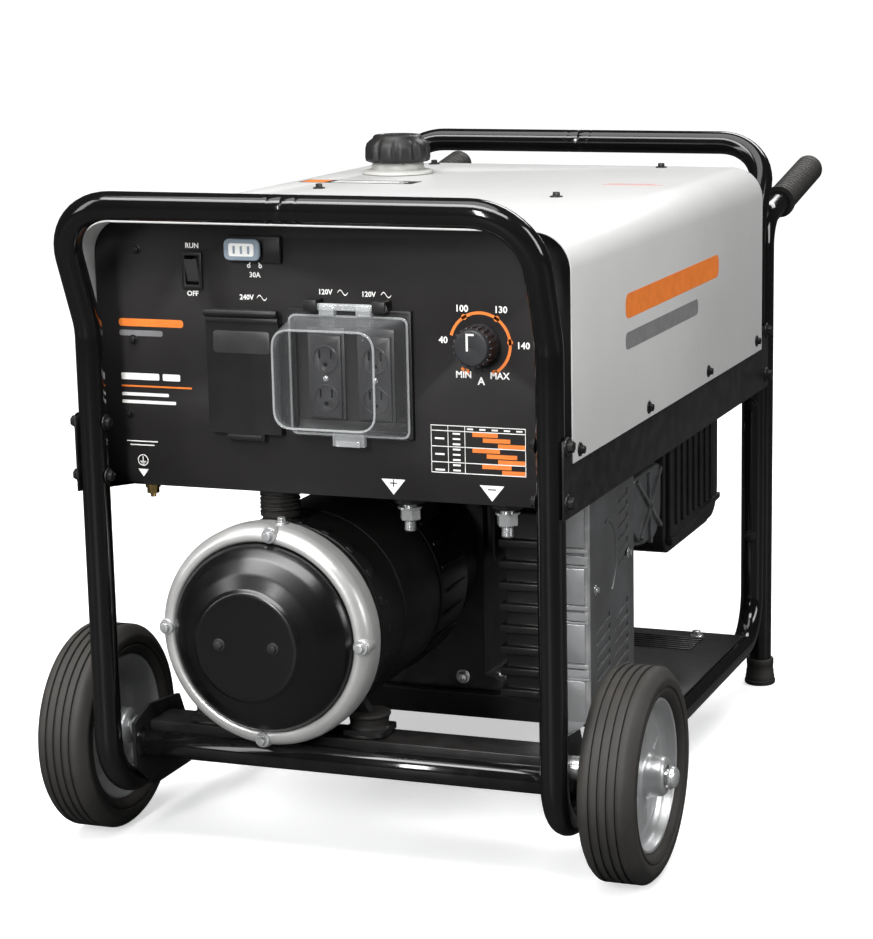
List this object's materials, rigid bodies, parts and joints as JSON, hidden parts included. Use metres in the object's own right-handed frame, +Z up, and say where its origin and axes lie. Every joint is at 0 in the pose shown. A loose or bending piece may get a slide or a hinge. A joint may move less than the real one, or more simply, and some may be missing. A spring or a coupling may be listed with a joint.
{
  "type": "engine driven welder",
  "caption": "Wheeled tube-frame engine driven welder with alternator, control panel, sheet cover, fuel tank and lifting handles.",
  "frame": {"origin": "on the floor under the middle of the whole machine's bounding box", "axes": "+Z up, +Y from the control panel towards the lifting handles, +X to the right seen from the front"},
  "size_m": [0.696, 1.166, 0.722],
  "materials": {
    "black_coat": "gloss black powder coat",
    "pale_coat": "light warm grey satin coat",
    "panel_coat": "charcoal satin coat",
    "cast_aluminium": "machined casting",
    "zinc_steel": "bright zinc plate",
    "dark_casting": "dark casting",
    "guard_steel": "satin sheet steel",
    "rubber": "moulded rubber",
    "tyre": "grooved solid rubber tread",
    "plastic": "moulded black plastic",
    "clear_plastic": "clear moulded cover",
    "brass": "plain brass",
    "copper": "varnished winding"
  },
  "bodies": {
    "frame": {"air_cleaner_cover": "plastic", "alternator_barrel": "black_coat", "alternator_crossmember": "black_coat", "alternator_mount_left": "rubber", "alternator_mount_right": "rubber", "axle_bracket_left": "black_coat", "axle_bracket_right": "black_coat", "axle_left": "zinc_steel", "axle_right": "zinc_steel", "base_tray": "black_coat", "blower_housing": "black_coat", "breaker_bezel": "plastic", "carburettor": "cast_aluminium", "conduit": "plastic", "crankcase": "dark_casting", "end_bell": "cast_aluminium", "end_cover": "black_coat", "engine_base_plate": "black_coat", "foot_left": "rubber", "foot_right": "rubber", "frame_loop_left": "black_coat", "frame_loop_right": "black_coat", "front_crossbar": "black_coat", "front_panel": "panel_coat", "fuel_tank": "dark_casting", "grip_left": "rubber", "grip_right": "rubber", "ground_terminal": "brass", "handle_tube_left": "black_coat", "handle_tube_right": "black_coat", "muffler": "black_coat", "muffler_guard": "guard_steel", "outlet_base": "plastic", "potentiometer": "zinc_steel", "rear_panel": "panel_coat", "receptacle_120_left": "plastic", "receptacle_120_right": "plastic", "receptacle_240": "plastic", "recoil_starter": "plastic", "rocker_cover": "guard_steel", "run_switch_bezel": "plastic", "starter_handle": "plastic", "stator": "copper", "tank_grommet": "rubber", "top_cover": "pale_coat", "weld_stud_negative": "zinc_steel", "weld_stud_positive": "zinc_steel"},
    "wheel_left": {"tire_left": "tyre", "rim_left": "zinc_steel"},
    "wheel_right": {"tire_right": "tyre", "rim_right": "zinc_steel"},
    "rotor_set": {"rotor": "dark_casting", "flywheel": "dark_casting"},
    "fuel_cap": {"fuel_cap": "plastic"},
    "amperage_knob": {"amperage_knob": "plastic"},
    "run_rocker": {"run_rocker": "plastic"},
    "breaker_button": {"breaker_button": "plastic"},
    "outlet_lid": {"outlet_lid": "plastic"},
    "outlet_cover": {"outlet_cover": "clear_plastic"},
    "choke_lever": {"choke_lever": "plastic"}
  },
  "joints": [
    {"name": "wheel_left_spin", "type": "hinge", "parent": "frame", "child": "wheel_left", "pos_m": [-0.302, -0.41722, 0.112], "axis": [1, 0, 0], "continuous": true},
    {"name": "wheel_right_spin", "type": "hinge", "parent": "frame", "child": "wheel_right", "pos_m": [0.302, -0.41722, 0.112], "axis": [1, 0, 0], "continuous": true},
    {"name": "rotor_spin", "type": "hinge", "parent": "frame", "child": "rotor_set", "pos_m": [-0.073, -0.21472, 0.248], "axis": [0, 1, 0], "continuous": true},
    {"name": "fuel_cap_turn", "type": "hinge", "parent": "frame", "child": "fuel_cap", "pos_m": [-0.15, 0.09328, 0.7], "axis": [0, 0, 1], "range_deg": [0, 100]},
    {"name": "amperage_knob_turn", "type": "hinge", "parent": "frame", "child": "amperage_knob", "pos_m": [0.159, -0.47472, 0.557], "axis": [0, 1, 0], "range_deg": [-140, 140]},
    {"name": "run_switch_rock", "type": "hinge", "parent": "frame", "child": "run_rocker", "pos_m": [-0.1525, -0.46272, 0.622], "axis": [1, 0, 0], "range_deg": [-20, 0]},
    {"name": "breaker_push", "type": "slide", "parent": "frame", "child": "breaker_button", "axis": [0, 1, 0], "range_m": [0, 0.004], "stiffness_N_per_m": 300},
    {"name": "outlet_lid_open", "type": "hinge", "parent": "frame", "child": "outlet_lid", "pos_m": [-0.0945, -0.47722, 0.5815], "axis": [1, 0, 0], "range_deg": [-115, 0]},
    {"name": "outlet_cover_open", "type": "hinge", "parent": "frame", "child": "outlet_cover", "pos_m": [0.0215, -0.47722, 0.591], "axis": [1, 0, 0], "range_deg": [-85, 0]},
    {"name": "choke_lever_turn", "type": "hinge", "parent": "frame", "child": "choke_lever", "pos_m": [0.136, 0.20128, 0.381], "axis": [0, 0, 1], "range_deg": [0, 50]}
  ]
}
